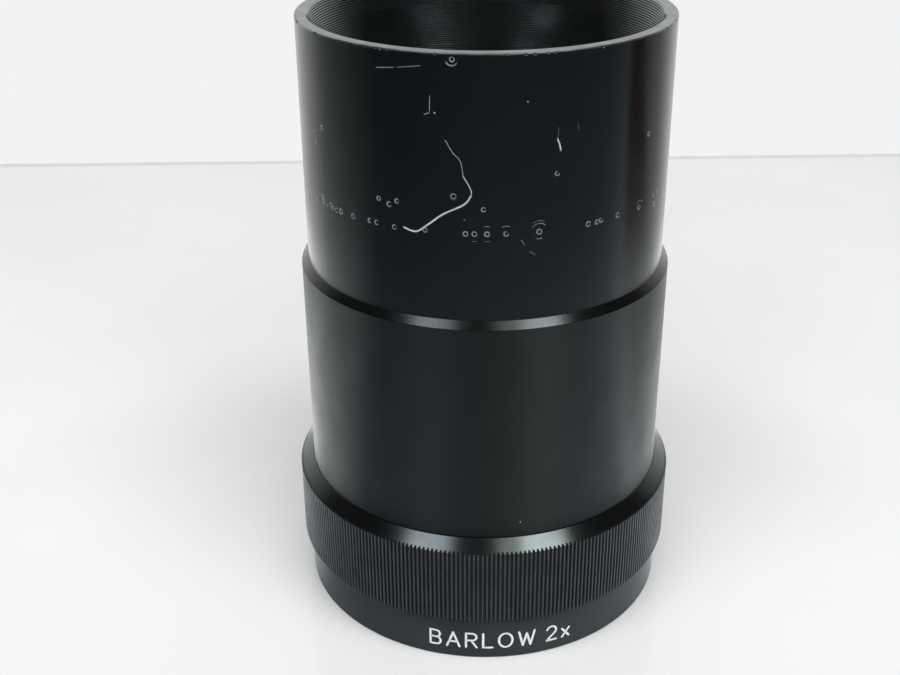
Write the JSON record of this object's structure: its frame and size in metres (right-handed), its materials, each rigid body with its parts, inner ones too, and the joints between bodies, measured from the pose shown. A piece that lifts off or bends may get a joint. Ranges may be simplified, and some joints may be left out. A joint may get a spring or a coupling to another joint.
{
  "type": "barlow lens",
  "caption": "Two inch barlow lens: a nosepiece tube above a stepped body sleeve, a negative lens cell inside, and a knurled twist-lock collar round the eyepiece socket.",
  "frame": {"origin": "centre of the collar's foot, on the surface that the barlow stands on, on the optical axis", "axes": "+Z along the optical axis, from the eyepiece socket to the mouth of the nosepiece; -Y towards the engraved front of the collar"},
  "size_m": [0.057, 0.057, 0.087],
  "materials": {
    "nosepiece_anodise": "semi-gloss black anodise, worn bare on the rim",
    "body_anodise": "satin black anodise",
    "collar_anodise": "satin black anodise, straight knurl",
    "inner_anodise": "matt black anodise",
    "lens_glass": "polished, coated",
    "ring_brass": "turned",
    "nylon": "natural, cut",
    "seal_rubber": "moulded",
    "screw_steel": "black oxide"
  },
  "bodies": {
    "barrel": {"nosepiece_tube": "nosepiece_anodise", "body_sleeve": "body_anodise", "lens_cell": "inner_anodise", "crown_element": "lens_glass", "flint_element": "lens_glass", "lens_spacer_ring": "inner_anodise", "lens_pad_ring": "nylon", "lens_retaining_ring": "inner_anodise", "cell_lock_ring": "inner_anodise", "glare_baffle": "inner_anodise"},
    "clamp": {"compression_ring": "ring_brass", "thrust_washer": "nylon"},
    "collar": {"lock_collar": "collar_anodise", "collar_o_ring": "seal_rubber", "collar_stop_screw": "screw_steel"}
  },
  "joints": [
    {"name": "clamp_travel", "type": "slide", "parent": "barrel", "child": "clamp", "axis": [0, 0, 1], "range_m": [0, 0.0005]},
    {"name": "collar_turn", "type": "hinge", "parent": "clamp", "child": "collar", "pos_m": [0, 0, 0.0126], "axis": [0, 0, 1], "range_deg": [0, 90]}
  ],
  "couplings": [
    {"joint": "clamp_travel", "follows": "collar_turn", "m_per_rad": 0.0003183}
  ]
}
